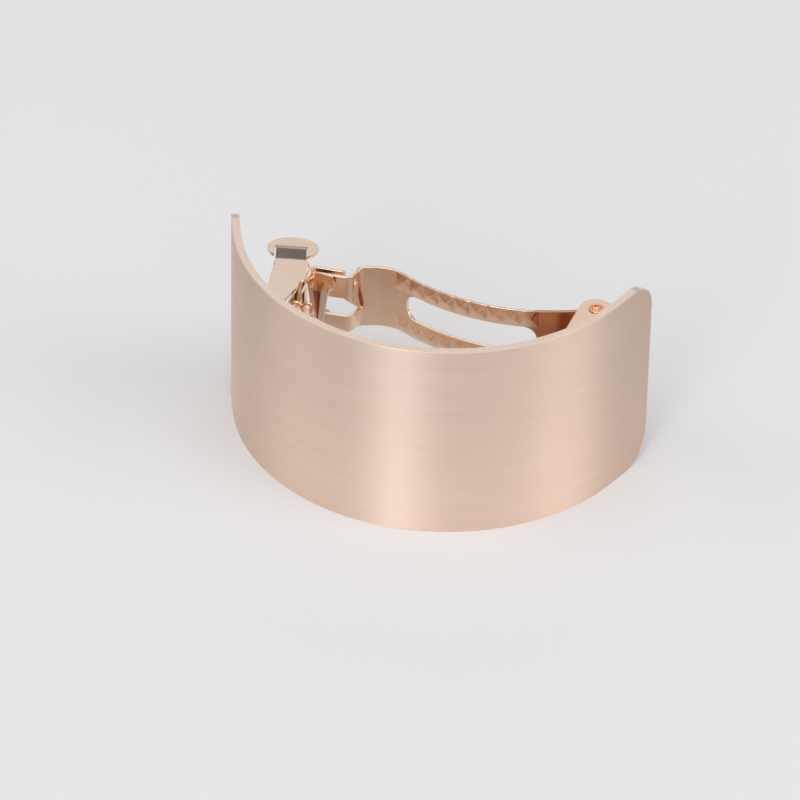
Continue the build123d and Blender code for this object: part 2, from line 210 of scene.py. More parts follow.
def stretched_noise(material, source, scale, detail, roughness=0.6):
    """Noise on a coordinate, stretched by a different scale along each axis."""
    tree = material.node_tree
    mapping = node(tree, "ShaderNodeMapping")
    mapping.inputs["Scale"].default_value = scale
    noise = node(tree, "ShaderNodeTexNoise")
    noise.inputs["Scale"].default_value = 1.0
    noise.inputs["Detail"].default_value = detail
    noise.inputs["Roughness"].default_value = roughness
    tree.links.new(source, mapping.inputs["Vector"])
    tree.links.new(mapping.outputs["Vector"], noise.inputs["Vector"])
    return noise.outputs["Fac"]


print("noise helpers:", [helper.__name__ for helper in (node, stretched_noise)])

# %% [markdown]
# The noises are added up into one tone. The colour, the roughness and the relief all follow
# that tone, so a scratch is dark, dull and deep at the same place.

# %% Tone, colour and relief
def blend_values(material, parts):
    """A weighted sum of grey values, centred on zero: each value counts from its middle, 0.5."""
    tree = material.node_tree
    total = None
    for value, weight in parts:
        scaled = node(tree, "ShaderNodeMath", operation="MULTIPLY_ADD")
        scaled.inputs[1].default_value = weight
        scaled.inputs[2].default_value = -0.5 * weight
        tree.links.new(value, scaled.inputs[0])
        if total is None:
            total = scaled.outputs[0]
        else:
            added = node(tree, "ShaderNodeMath", operation="ADD")
            tree.links.new(total, added.inputs[0])
            tree.links.new(scaled.outputs[0], added.inputs[1])
            total = added.outputs[0]
    return total


def remap(material, value, low, high, spread=0.5):
    """Turns a value between -spread and +spread into one between low and high."""
    tree = material.node_tree
    ranged = node(tree, "ShaderNodeMapRange")
    ranged.inputs["From Min"].default_value = -spread
    ranged.inputs["From Max"].default_value = spread
    ranged.inputs["To Min"].default_value = low
    ranged.inputs["To Max"].default_value = high
    tree.links.new(value, ranged.inputs["Value"])
    return ranged.outputs["Result"]


def two_tone(material, value, dark, light):
    """A colour between two tones, led by a value from 0 to 1."""
    tree = material.node_tree
    mix = node(tree, "ShaderNodeMix", data_type="RGBA")
    ends = [socket for socket in mix.inputs if socket.type == "RGBA"]
    ends[0].default_value, ends[1].default_value = (*dark, 1), (*light, 1)
    tree.links.new(value, mix.inputs[0])
    return next(s for s in mix.outputs if s.type == "RGBA")


def relief(material, value, strength, distance):
    """A bump from a height value, wired to the shader's normal."""
    tree = material.node_tree
    bump = node(tree, "ShaderNodeBump")
    bump.inputs["Strength"].default_value = strength
    bump.inputs["Distance"].default_value = distance
    tree.links.new(value, bump.inputs["Height"])
    tree.links.new(bump.outputs["Normal"], tree.nodes["Principled BSDF"].inputs["Normal"])


helpers = (blend_values, remap, two_tone, relief)
print("tone helpers:", [helper.__name__ for helper in helpers])

# %% [markdown]
# The plate's finish is a satin brushing that runs along its length. Each stroke is a fine
# scratch, so light spreads up and down across the strokes and hardly along them. The shader
# does that with anisotropy, and stretched noise draws the strokes in colour, roughness and
# relief. The strokes follow the plate's own map, so they bend with the sheet. The colour is
# also painted a little paler low down on the plate, as a painted reflection of the brighter
# table at its foot.

# %% Brushed plate finish
brushed, shader = new_material("brushed_rose_gold")
tree = brushed.node_tree
strokes = node(tree, "ShaderNodeUVMap", uv_map="strokes").outputs["UV"]
fine = stretched_noise(brushed, strokes, (12, 900, 1), 3)
medium = stretched_noise(brushed, strokes, (4, 220, 1), 3)
broad = stretched_noise(brushed, strokes, (1.6, 26, 1), 2)
cloud = stretched_noise(brushed, strokes, (9, 11, 1), 2)
tone = blend_values(brushed, [(fine, 1.0), (medium, 1.0), (broad, 0.6), (cloud, 0.35)])
tone_spread = 0.9
colour = two_tone(
    brushed, remap(brushed, tone, 0, 1, tone_spread), (0.855, 0.640, 0.500), (0.965, 0.790, 0.670))
up_plate = node(tree, "ShaderNodeSeparateXYZ")
tree.links.new(strokes, up_plate.inputs[0])
# Painted reflection: the colour is scaled up low on the plate, for the brighter table it mirrors
# there.
painted_foot_reflection = node(tree, "ShaderNodeMapRange", interpolation_type="SMOOTHSTEP")
for label, value in {"From Min": 0.03, "From Max": 0.33, "To Min": 1.04, "To Max": 0.95}.items():
    painted_foot_reflection.inputs[label].default_value = value
tree.links.new(up_plate.outputs["Y"], painted_foot_reflection.inputs["Value"])
shaded = node(tree, "ShaderNodeVectorMath", operation="SCALE")
tree.links.new(colour, shaded.inputs[0])
tree.links.new(painted_foot_reflection.outputs["Result"], shaded.inputs["Scale"])
tree.links.new(shaded.outputs[0], shader.inputs["Base Color"])
tree.links.new(remap(brushed, tone, 0.58, 0.44, tone_spread), shader.inputs["Roughness"])
shader.inputs["Metallic"].default_value = 1.0
shader.inputs["Anisotropic"].default_value = 0.9
shader.inputs["Anisotropic Rotation"].default_value = 0.25
tangent = node(tree, "ShaderNodeTangent", direction_type="UV_MAP", uv_map="strokes")
tree.links.new(tangent.outputs["Tangent"], shader.inputs["Tangent"])
relief(brushed, tone, 0.15, 0.03 * MM)
print("brushed finish:", len(tree.nodes), "nodes")

# %% [markdown]
# The clasp is stamped from thin spring sheet and plated, so it is smooth and mirror-like.
# Its surface is not perfect: the plating has a faint ripple, and touch leaves soft smudges.
# Both are noise on the object's own coordinates, because these pieces have no map. Every
# piece gets its own tone and gloss from one function.

# %% Polished clasp finish
def polished_metal(name, dark, light, smooth, rough, waviness=0.25):
    """Plated sheet metal with soft smudges and a faint ripple."""
    material, shader = new_material(name)
    tree = material.node_tree
    place = node(tree, "ShaderNodeTexCoord").outputs["Object"]
    smudge = stretched_noise(material, place, (180, 180, 180), 3)
    grain = stretched_noise(material, place, (1500, 1500, 1500), 2)
    ripple = stretched_noise(material, place, (420, 420, 420), 1)
    wear = blend_values(material, [(smudge, 1.0), (grain, 0.35)])
    colour = two_tone(material, remap(material, wear, 0, 1), dark, light)
    tree.links.new(colour, shader.inputs["Base Color"])
    tree.links.new(remap(material, wear, rough, smooth), shader.inputs["Roughness"])
    shader.inputs["Metallic"].default_value = 1.0
    relief(material, ripple, waviness, 0.04 * MM)
    return material


clasp_metal = polished_metal(
    "polished_rose_gold", (0.90, 0.64, 0.47), (0.95, 0.71, 0.54), 0.12, 0.26)
catch_metal = polished_metal(
    "catch_rose_gold", (0.83, 0.645, 0.53), (0.88, 0.70, 0.58), 0.04, 0.07, 0.02)
# Painted shade: the bend metal is dark in place of the dark that the catch's real bends mirror.
bend_painted_shade_metal = polished_metal(
    "catch_bend_painted_shade", (0.36, 0.28, 0.23), (0.40, 0.31, 0.26), 0.5, 0.6, 0.02)
rivet_metal = polished_metal(
    "copper_rivet_metal", (0.80, 0.46, 0.30), (0.90, 0.58, 0.42), 0.12, 0.28)
rim_metal = polished_metal(
    "plate_rim_metal", (0.90, 0.71, 0.58), (0.96, 0.79, 0.67), 0.22, 0.36)
inner_metal = polished_metal(
    "plate_inner_metal", (0.96, 0.75, 0.60), (0.98, 0.80, 0.67), 0.24, 0.32, 0.1)
print("metals:", sorted(material.name for material in bpy.data.materials))

# %% [markdown]
# The bar, the catch and the rivet keep the solids' own shapes. A stamped part has no knife
# edge, though, so each is copied, its flat faces are made whole again and its edges are
# rolled over by a few hundredths of a millimetre, which is what catches the light. The
# bends of the catch are satin and painted much darker than its flats, as painted shade for
# the dark that they mirror: they are told by how far a face leans.

# %% Softened bar, catch and rivet
merge_gap = 0.001 * MM
flat_angle, edge_angle = math.radians(0.5), math.radians(25)
flat_weight = 100


def softened(source, new_name, metals, width, steep=()):
    """A copy of a solid with rounded edges. Faces within the steep ranges get the second metal."""
    data = nodes[source].data.copy()
    data.transform(nodes[source].matrix_world)
    shape = bmesh.new()
    shape.from_mesh(data)
    bmesh.ops.remove_doubles(shape, verts=shape.verts, dist=merge_gap)
    bmesh.ops.dissolve_limit(
        shape, angle_limit=flat_angle, verts=shape.verts, edges=shape.edges)
    for face in shape.faces:
        face.smooth = True
        face.material_index = int(any(low < face.normal.z < high for low, high in steep))
    data.materials.clear()
    for metal in metals:
        data.materials.append(metal)
    shape.to_mesh(data)
    shape.free()
    piece = bpy.data.objects.new(new_name, data)
    bpy.context.scene.collection.objects.link(piece)
    edges = piece.modifiers.new("rolled_edges", "BEVEL")
    edges.width = width * MM
    edges.segments = 2
    edges.limit_method = "ANGLE"
    edges.angle_limit = edge_angle
    piece.modifiers.new("flat_faces_stay_flat", "WEIGHTED_NORMAL").weight = flat_weight
    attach(piece, "clip_body")
    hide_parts(source)
    print(new_name, "has", len(data.polygons), "faces")


# Painted shade: faces leaning within these ranges, the catch's bends, get the dark bend metal.
shaded_wing_bends = [(0.63, 0.925), (0.945, 0.995)]
softened("base_bar", "bowed_bar", [clasp_metal], width=0.1)
softened(
    "catch_spring", "winged_catch", [catch_metal, bend_painted_shade_metal],
    width=0.07, steep=shaded_wing_bends)
softened("hinge_pin", "copper_rivet", [rivet_metal], width=0.06)

# %% [markdown]
# The plate and the arm follow rules, so Geometry Nodes can make them. These helpers open a
# tree with an input for every named size, and add its Math and vector nodes.

# %% Open a tree and add its nodes
def new_tree(name, sizes):
    """A Geometry Nodes tree with one output and a named input for each size."""
    tree = bpy.data.node_groups.new(name, "GeometryNodeTree")
    tree.interface.new_socket("Geometry", in_out="OUTPUT", socket_type="NodeSocketGeometry")
    for label in sizes:
        tree.interface.new_socket(label, in_out="INPUT", socket_type="NodeSocketFloat")
    entry = tree.nodes.new("NodeGroupInput")
    return tree, {label: entry.outputs[label] for label in sizes}


def calc(tree, operation, *values):
    """A Math node on sockets or plain numbers."""
    made = node(tree, "ShaderNodeMath", operation=operation)
    for slot_index, value in enumerate(values):
        if isinstance(value, (int, float)):
            made.inputs[slot_index].default_value = value
        else:
            tree.links.new(value, made.inputs[slot_index])
    return made.outputs[0]


def combine(tree, *values):
    """A vector from its parts."""
    made = node(tree, "ShaderNodeCombineXYZ")
    for socket, value in zip(made.inputs, values):
        tree.links.new(value, socket)
    return made.outputs[0]


print("tree helpers:", [helper.__name__ for helper in (new_tree, calc, combine)])

# %% [markdown]
# A tree ends in Realize Instances and Set Material. Its result is evaluated once and kept as
# a plain mesh, and the modifier goes. The sizes are handed over by each socket's identifier.

# %% Close a tree and keep its mesh
def close_tree(tree, geometry, material):
    """Ends a tree in Realize Instances and Set Material."""
    realize = node(tree, "GeometryNodeRealizeInstances")
    paint = node(tree, "GeometryNodeSetMaterial")
    paint.inputs["Material"].default_value = material
    tree.links.new(geometry, realize.inputs[0])
    tree.links.new(realize.outputs[0], paint.inputs["Geometry"])
    tree.links.new(paint.outputs[0], node(tree, "NodeGroupOutput").inputs[0])


def grow(name, tree, sizes, materials):
    """Runs a tree with its sizes and keeps the result as a plain mesh."""
    host = bpy.data.objects.new(name, bpy.data.meshes.new(name + "_seed"))
    bpy.context.scene.collection.objects.link(host)
    modifier = host.modifiers.new(name, "NODES")
    modifier.node_group = tree
    for item in tree.interface.items_tree:
        if item.item_type == "SOCKET" and item.in_out == "INPUT":
            modifier[item.identifier] = sizes[item.name]
    graph = bpy.context.evaluated_depsgraph_get()
    mesh = bpy.data.meshes.new_from_object(host.evaluated_get(graph))
    host.modifiers.remove(modifier)
    host.data = mesh
    mesh.name = name
    mesh.materials.clear()
    for material in materials:
        mesh.materials.append(material)
    print(name, "has", len(mesh.polygons), "faces")
    return host


print("mesh helpers:", [helper.__name__ for helper in (close_tree, grow)])

# %% [markdown]
# The plate is a flat blank with rounded corners, bent along two radii. A tree can say
# exactly that, so the sizes stay readable as named inputs. The grid's columns are squeezed
# at the ends to follow the rounded corners.

# %% Flat plate
plate_sizes = {
    "Half length": 50.146 * MM, "Height": 35.0 * MM, "Corner radius": 5.8 * MM,
    "Bend radius": 33.85 * MM, "Bend half angle": math.radians(65.0),
    "End radius": 60.0 * MM, "Apex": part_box("curved_plate")[0].y,
}
plate_tree, size = new_tree("bent_plate", plate_sizes)
grid = node(plate_tree, "GeometryNodeMeshGrid")
for label, value in {"Size X": 2, "Size Y": 2, "Vertices X": 181, "Vertices Y": 25}.items():
    grid.inputs[label].default_value = value
straight_share = 0.86


def plate_calc(operation, *values):
    """A Math node in the plate's tree."""
    return calc(plate_tree, operation, *values)


place = node(plate_tree, "ShaderNodeSeparateXYZ")
position = node(plate_tree, "GeometryNodeInputPosition")
plate_tree.links.new(position.outputs[0], place.inputs[0])
column, row = place.outputs["X"], place.outputs["Y"]
outward, side_sign = plate_calc("ABSOLUTE", column), plate_calc("SIGN", column)
past_straight = plate_calc("MAXIMUM", plate_calc("SUBTRACT", outward, straight_share), 0.0)
corner_turn = plate_calc("MULTIPLY", past_straight, math.pi / 2 / (1 - straight_share))
run = plate_calc("MINIMUM", plate_calc("DIVIDE", outward, straight_share), 1.0)
flat_run = plate_calc("SUBTRACT", size["Half length"], size["Corner radius"])
corner_run = plate_calc("MULTIPLY", size["Corner radius"], plate_calc("SINE", corner_turn))
along = plate_calc("ADD", plate_calc("MULTIPLY", run, flat_run), corner_run)
drop = plate_calc("MULTIPLY", size["Corner radius"], plate_calc(
    "SUBTRACT", 1.0, plate_calc("COSINE", corner_turn)))
middle = plate_calc("MULTIPLY", size["Height"], 0.5)
half_height = plate_calc("SUBTRACT", middle, drop)
height = plate_calc("ADD", plate_calc("MULTIPLY", row, half_height), middle)
print("flat plate:", round(plate_sizes["Half length"] * 2 / MM, 1), "mm long")

# %% [markdown]
# Every column is then moved onto the bent line: a tight bend in the middle that eases into a
# wide one at both ends. Before that, each point's place on the flat sheet is stored as the
# map that the brush strokes follow.

# %% Bent plate with its stroke map
bend_run = plate_calc("MULTIPLY", size["Bend radius"], size["Bend half angle"])
first_turn = plate_calc("DIVIDE", plate_calc("MINIMUM", along, bend_run), size["Bend radius"])
end_run = plate_calc("MAXIMUM", plate_calc("SUBTRACT", along, bend_run), 0.0)
both_turns = plate_calc("ADD", first_turn, plate_calc("DIVIDE", end_run, size["End radius"]))


def bent(trig, start):
    """Plan distance after both bends, from the sine or the cosine of the turns."""
    first, second = plate_calc(trig, first_turn), plate_calc(trig, both_turns)
    one = plate_calc("MULTIPLY", size["Bend radius"], plate_calc("SUBTRACT", first, start))
    two = plate_calc("MULTIPLY", size["End radius"], plate_calc("SUBTRACT", second, first))
    return plate_calc("ADD", one, two)


plan_x = plate_calc("MULTIPLY", bent("SINE", 0.0), side_sign)
plan_y = plate_calc("SUBTRACT", size["Apex"], bent("COSINE", 1.0))
full_length = plate_calc("MULTIPLY", size["Half length"], 2.0)
stroke_run = plate_calc("DIVIDE", plate_calc("MULTIPLY", along, side_sign), full_length)
stroke_rise = plate_calc("DIVIDE", height, full_length)
store = node(plate_tree, "GeometryNodeStoreNamedAttribute", data_type="FLOAT2", domain="CORNER")
store.inputs["Name"].default_value = "strokes"
move = node(plate_tree, "GeometryNodeSetPosition")
plate_tree.links.new(grid.outputs["Mesh"], store.inputs["Geometry"])
plate_tree.links.new(combine(plate_tree, stroke_run, stroke_rise), store.inputs["Value"])
plate_tree.links.new(store.outputs[0], move.inputs["Geometry"])
plate_tree.links.new(combine(plate_tree, plan_x, plan_y, height), move.inputs["Position"])
close_tree(plate_tree, move.outputs[0], brushed)
print("plate tree:", len(plate_tree.nodes), "nodes")

# %% [markdown]
# The tree gives the outer face alone. Solidify adds the sheet's thickness inwards, with a
# plainer metal on the inner face, and Bevel rounds the cut edges, which are polished.

# %% Plate
plate = grow("brushed_plate_sheet", plate_tree, plate_sizes, [brushed, inner_metal, rim_metal])
for polygon in plate.data.polygons:
    polygon.use_smooth = True
wall = plate.modifiers.new("sheet_thickness", "SOLIDIFY")
wall.thickness = 1.3 * MM
wall.offset = -1
wall.material_offset = 1
wall.material_offset_rim = 2
rounding = plate.modifiers.new("rounded_rims", "BEVEL")
rounding.width = 0.3 * MM
rounding.segments = 3
rounding.limit_method = "ANGLE"
rounding.angle_limit = math.radians(50)
rounding.harden_normals = True
rounding.material = 2
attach(plate, "clip_body")
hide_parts("curved_plate")

# %% [markdown]
# The clasp arm is one pressed strip of spring sheet. On the real clip a flat blank with a
# slot and a window is stamped out, teeth are pressed into its two rails, and then it is
# bent: rolled round the rivet, bowed, raised to a crest, stepped down and folded back. The
# scene does the same in the same order. First comes the line that the strip follows in
# plan, as runs and rounded corners.

# %% Plan line of the arm
arm_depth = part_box("curved_plate")[0].y / MM


def fillet_line(points, radii, step=0.08):
    """A run of points with its inner corners rounded, in millimetres."""
    line = [Vector(points[0])]
    for before, corner, after, radius in zip(points, points[1:], points[2:], radii):
        corner = Vector(corner)
        back = (Vector(before) - corner).normalized()
        ahead = (Vector(after) - corner).normalized()
        half = back.angle(ahead) / 2
        reach = radius / math.tan(half)
        centre = corner + (back + ahead).normalized() * radius / math.sin(half)
        start, end = corner + back * reach - centre, corner + ahead * reach - centre
        turn = start.angle_signed(end)
        count = max(3, round(abs(turn) * radius / step))
        for index in range(count + 1):
            angle = -turn * index / count
            line.append(centre + Matrix.Rotation(angle, 2) @ start)
    line.append(Vector(points[-1]))
    return line


def arc_line(centre, radius, first, last, count):
    """Points on an arc in plan, from one angle to another, in degrees."""
    angles = [math.radians(first + (last - first) * i / count) for i in range(count + 1)]
    return [Vector(centre) + radius * Vector((math.cos(a), math.sin(a))) for a in angles]


sheet = 0.6
pivot, eye_radius = Vector((24.85, 34.0)), 1.35
bow_low_x, bow_radius = 8.6, 33.0
bow_centre = Vector((bow_low_x, 0))
bow_centre.y = pivot.y + math.sqrt((bow_radius + eye_radius) ** 2 - (pivot.x - bow_low_x) ** 2)
bow_angle = math.degrees(math.atan2(bow_centre.y - pivot.y, bow_low_x - pivot.x))
bow_end_x = -4.5
bow_end_angle = -90 - math.degrees(math.asin((bow_low_x - bow_end_x) / bow_radius))
eye_turn, eye_points, bow_points = 290, 60, 90
roll = arc_line(pivot, eye_radius, bow_angle - eye_turn, bow_angle, eye_points)
bow = arc_line(bow_centre, bow_radius, bow_angle - 180, bow_end_angle, bow_points)
straight_after_bow = 0.76
rise_foot = bow[-1] + (bow[-1] - bow[-2]).normalized() * straight_after_bow
corners = [
    bow[-1], rise_foot, (-8.2, 35.85), (-11.2, 35.85), (-14.4, 34.75), (-15.3, 32.03),
    (-21.7, 31.58), (-21.7, 33.18), (-16.3, 33.33),
]
corner_radii = [6.0, 6.5, 4.0, 1.3, 1.0, 0.775, 0.775]
plan_line = roll + bow[1:-1] + fillet_line(corners, corner_radii)
travel = [0.0]
for before, after in zip(plan_line, plan_line[1:]):
    travel.append(travel[-1] + (after - before).length)
print("arm strip:", round(travel[-1], 1), "mm from its rolled end to its tab")

# %% [markdown]
# Next comes the flat blank. Its features are known by where they lie along the clip, so a
# place in X is first turned into travel along the strip. The strip passes some places twice,
# before and after its fold. All widths are in millimetres from the middle line.

# %% Sizes of the blank
def along_at(x, after_fold=False):
    """Travel along the strip where its plan line passes x, before or after the fold."""
    fold = min(range(len(roll), len(plan_line)), key=lambda i: plan_line[i].x)
    for i in (range(fold, len(plan_line) - 1) if after_fold else range(len(roll), fold)):
        a, b = plan_line[i].x, plan_line[i + 1].x
        if min(a, b) <= x <= max(a, b) and a != b:
            return travel[i] + (travel[i + 1] - travel[i]) * (x - a) / (b - a)
    return travel[-1]


slot_span, slot_half, slot_round = (along_at(15.8), along_at(-6.5)), 2.42, 2.4
window_span = (along_at(-14.4), along_at(-20.3))
window_low, window_high, window_point = -2.26, 1.18, -2.35
window_taper, window_lead, window_round = 3.3, 0.6, 1.3
tab_span, tab_half = (along_at(-20.0, True), travel[-1] + 1.0), 3.4
tab_round, tab_end_round, tab_corner = 1.6, 0.1, 0.8
seam_before_window, seam_after_window = 2.5, 1.5
arm_half, crest_wider, landing_narrower = 5.6, 0.13, 0.33
crest_from, crest_ease = along_at(-7.2), 2.5
landing_from, landing_ease = along_at(-14.2), 1.2
print("slot", [round(v, 1) for v in slot_span], "window", [round(v, 1) for v in window_span])

# %% [markdown]
# Two rules shape the blank. The first gives the opening's two edges at any place along the
# strip: a slot with round ends, a window that runs to a point, and the notch of the folded
# tab. Where the sheet is whole, both edges lie on one seam, and the seam eases over to where
# the next opening starts.

# %% Openings of the blank
def smooth(value):
    """Eases a value from 0 to 1."""
    value = min(max(value, 0.0), 1.0)
    return value * value * (3 - 2 * value)


def round_end(distance, reach):
    """Share of an opening's width at a distance from its round end."""
    near = min(max(distance / reach, 0.0), 1.0)
    return math.sqrt(1 - (1 - near) ** 2)


def rounded(along, span, lead, trail):
    """Share of an opening's width at a station, from 0 at its round ends to 1 between them."""
    return min(round_end(along - span[0], lead), round_end(span[1] - along, trail))


def opening(along):
    """Lower and upper edge of the opening at a station: both the same where the sheet is whole."""
    start, end = window_span
    middle = (window_high + window_low) / 2
    if start < along < end:
        into = along - start
        high = window_point + (window_high - window_point) * min(into / window_taper, 1.0)
        low = window_point + (window_low - window_point) * min(into / window_lead, 1.0)
        share = round_end(end - along, window_round)
        return middle + (low - middle) * share, middle + (high - middle) * share
    if slot_span[1] < along <= start:
        seam = window_point * smooth(1 - (start - along) / seam_before_window)
        return seam, seam
    if end <= along < tab_span[0]:
        seam = middle * smooth(1 - (along - end) / seam_after_window)
        return seam, seam
    half = slot_half * rounded(along, slot_span, slot_round, slot_round)
    half += tab_half * rounded(along, tab_span, tab_round, tab_end_round)
    return -half, half


middle_of_slot = sum(slot_span) / 2
print("opening in the middle of the slot:", [round(v, 2) for v in opening(middle_of_slot)])

# %% [markdown]
# The second rule gives the strip's half width: a little wider at the crest, a little narrower
# on the landing beyond it, and rounded at the corners of the tab.

# %% Width of the blank
def outer_edge(along):
    """Half width of the strip: widest at the crest, narrower beyond, with a rounded tab end."""
    half = arm_half + crest_wider * smooth((along - crest_from) / crest_ease)
    half -= landing_narrower * smooth((along - landing_from) / landing_ease)
    left = travel[-1] - along
    if left < tab_corner:
        half -= tab_corner - math.sqrt(max(tab_corner ** 2 - (tab_corner - left) ** 2, 0.0))
    return half


widths = [round(outer_edge(along), 2) for along in (slot_span[0], landing_from)]
print("half width at the teeth and at the crest:", widths)

# %% [markdown]
# The blank's mesh is a row of cross stations, joined by plain quads from the opening's edge
# to the outer edge. Stations lie closer together where a round end needs them, and the
# regular ones keep clear of those, which leaves room for the rounding of the cut edges.

# %% Flat blank of the arm
round_steps = [1 - math.cos(math.radians(a)) for a in (0, 18, 27, 36, 45, 54, 63, 72, 81, 90)]
step, crowded, edge_room, rows = 0.2, 0.025, 0.12, 16
round_ends = [
    (slot_span, slot_round, slot_round),
    (window_span, window_lead, window_round),
    (tab_span, tab_round, tab_end_round),
]
stations = {0.0, travel[-1]}
for (start, end), lead, trail in round_ends:
    for share in round_steps:
        stations |= {start + share * lead, end - share * trail}
stations |= {travel[-1] - tab_corner * share for share in round_steps}
special = sorted(along for along in stations if 0 <= along <= travel[-1])
special = [a for a, b in zip(special, special[1:] + [math.inf]) if b - a > crowded]
regular = [step * i for i in range(int(travel[-1] / step))]
regular = [a for a in regular if min(abs(a - b) for b in special) > edge_room]
stations = sorted(special + regular)
blank = bmesh.new()
for side_of in (1, -1):
    previous = None
    for along in stations:
        inner, outer = opening(along)[side_of > 0], side_of * outer_edge(along)
        line = [
            blank.verts.new((along * MM, MM * (inner + (outer - inner) * i / rows), 0))
            for i in range(rows + 1)
        ]
        if previous:
            for i in range(rows):
                quad = (previous[i], line[i], line[i + 1], previous[i + 1])
                blank.faces.new(quad if side_of > 0 else quad[::-1])
        previous = line
bmesh.ops.remove_doubles(blank, verts=blank.verts, dist=0.01 * MM)
blank_mesh = bpy.data.meshes.new("arm_blank")
blank.to_mesh(blank_mesh)
blank.free()
print("flat blank:", len(stations), "stations,", len(blank_mesh.polygons), "faces")

# %% [markdown]
# A Geometry Nodes tree presses the teeth and bends the blank. It needs the plan line as a
# curve to follow, and the teeth's sizes as named inputs: nine of them lie on each rail, from
# the hinge side to the foot of the crest.

# %% Plan curve and tooth sizes
path_data = bpy.data.curves.new("arm_plan", "CURVE")
path_data.dimensions = "3D"
spline = path_data.splines.new("POLY")
spline.points.add(len(plan_line) - 1)
mid_height = 17.5
for point, place_mm in zip(spline.points, plan_line):
    point.co = (place_mm.x * MM, (place_mm.y + arm_depth) * MM, mid_height * MM, 1)
path = bpy.data.objects.new("arm_plan", path_data)
bpy.context.scene.collection.objects.link(path)
tooth_pitch, tooth_count = 2.68, 9
last_tooth_x = -7.0
first_tooth = along_at(last_tooth_x + tooth_pitch * (tooth_count - 1))
last_tooth = along_at(last_tooth_x)
arm_sizes = {
    "Tooth pitch": (last_tooth - first_tooth) / (tooth_count - 1) * MM,
    "Teeth start": first_tooth * MM, "Teeth end": last_tooth * MM, "Tooth height": 0.55 * MM,
    "Rail inner edge": slot_half * MM, "Rail outer edge": arm_half * MM,
}
press_tree, size = new_tree("press_and_bend", arm_sizes)
for label in ("Blank", "Plan line"):
    press_tree.interface.new_socket(label, in_out="INPUT", socket_type="NodeSocketObject")
print("teeth:", tooth_count, "on each rail, every", tooth_pitch, "mm")

# %% [markdown]
# The teeth repeat, so they are a rule. A wave along the rail gives a peak on every pitch, and
# a ridge across the rail gives each tooth its outer and inner slope. The lower of the two is
# the tooth's height, softened where they meet. The rail stays a little raised between two
# teeth, and toward the slot they run together into a plain band. The pattern fades out half a
# pitch before the first tooth and after the last.

# %% Press the teeth
def press_calc(operation, *values):
    """A Math node in the arm's tree."""
    return calc(press_tree, operation, *values)


flank_fall, flank_top = 2.3, 1.2
outer_rise, outer_start = 1.9, 0.2
inner_fall, inner_end = 2.0, 0.92
band_rise, band_start = 2.4, 1.6
least_lift, soft_valley, soft_ridge, soft_tip = 0.18, 0.12, 0.3, 0.18
fade_from, fade_to = -0.6, -0.4
place = node(press_tree, "ShaderNodeSeparateXYZ")
position = node(press_tree, "GeometryNodeInputPosition")
press_tree.links.new(position.outputs[0], place.inputs[0])
along, across = place.outputs["X"], place.outputs["Y"]
after_start = press_calc("SUBTRACT", along, size["Teeth start"])
before_end = press_calc("SUBTRACT", size["Teeth end"], along)
beat = press_calc("DIVIDE", after_start, size["Tooth pitch"])
end_beat = press_calc("DIVIDE", before_end, size["Tooth pitch"])
flank = press_calc("MULTIPLY_ADD", press_calc("PINGPONG", beat, 0.5), -flank_fall, flank_top)
rail_width = press_calc("SUBTRACT", size["Rail outer edge"], size["Rail inner edge"])
from_edge = press_calc("SUBTRACT", size["Rail outer edge"], press_calc("ABSOLUTE", across))
inward = press_calc("DIVIDE", from_edge, rail_width)
outer_slope = press_calc("MULTIPLY_ADD", inward, outer_rise, outer_start)
inner_slope = press_calc("MULTIPLY", press_calc("SUBTRACT", inner_end, inward), inner_fall)
ridge = press_calc("SMOOTH_MIN", outer_slope, inner_slope, soft_ridge)
band = press_calc("MAXIMUM", press_calc("MULTIPLY_ADD", inward, band_rise, -band_start), 0.0)
crest = press_calc("ADD", press_calc("SMOOTH_MAX", flank, least_lift, soft_valley), band)
pyramid = press_calc("SMOOTH_MIN", crest, ridge, soft_tip)
fades = []
for inside in (beat, end_beat):
    fade = node(press_tree, "ShaderNodeMapRange", interpolation_type="SMOOTHSTEP")
    fade.inputs["From Min"].default_value = fade_from
    fade.inputs["From Max"].default_value = fade_to
    press_tree.links.new(inside, fade.inputs["Value"])
    fades.append(fade.outputs["Result"])
shape = press_calc("MULTIPLY", press_calc("MAXIMUM", pyramid, 0.0), press_calc("MULTIPLY", *fades))
lift = press_calc("MULTIPLY", shape, size["Tooth height"])
print("tooth rule:", len(press_tree.nodes), "nodes")

# %% [markdown]
# To bend the strip, Sample Curve reads the plan line at each point's travel. It gives the
# place on the line and its heading. The tooth's height is added square to the heading, and
# the distance across the strip becomes height on the clip.

# %% Bend the strip
entry = next(n for n in press_tree.nodes if n.type == "GROUP_INPUT")
flat = node(press_tree, "GeometryNodeObjectInfo")
press_tree.links.new(entry.outputs["Blank"], flat.inputs["Object"])
guide = node(press_tree, "GeometryNodeObjectInfo", transform_space="ORIGINAL")
press_tree.links.new(entry.outputs["Plan line"], guide.inputs["Object"])
follow = node(press_tree, "GeometryNodeSampleCurve", mode="LENGTH")
press_tree.links.new(guide.outputs["Geometry"], follow.inputs["Curves"])
press_tree.links.new(along, follow.inputs["Length"])
heading = node(press_tree, "ShaderNodeSeparateXYZ")
press_tree.links.new(follow.outputs["Tangent"], heading.inputs[0])
shift_x = press_calc("MULTIPLY", press_calc("MULTIPLY", heading.outputs["Y"], -1.0), lift)
shift_y = press_calc("MULTIPLY", heading.outputs["X"], lift)
carried = node(press_tree, "ShaderNodeVectorMath", operation="ADD")
press_tree.links.new(follow.outputs["Position"], carried.inputs[0])
press_tree.links.new(combine(press_tree, shift_x, shift_y, across), carried.inputs[1])
bend = node(press_tree, "GeometryNodeSetPosition")
press_tree.links.new(flat.outputs["Geometry"], bend.inputs["Geometry"])
press_tree.links.new(carried.outputs[0], bend.inputs["Position"])
close_tree(press_tree, bend.outputs[0], clasp_metal)
print("arm tree:", len(press_tree.nodes), "nodes")
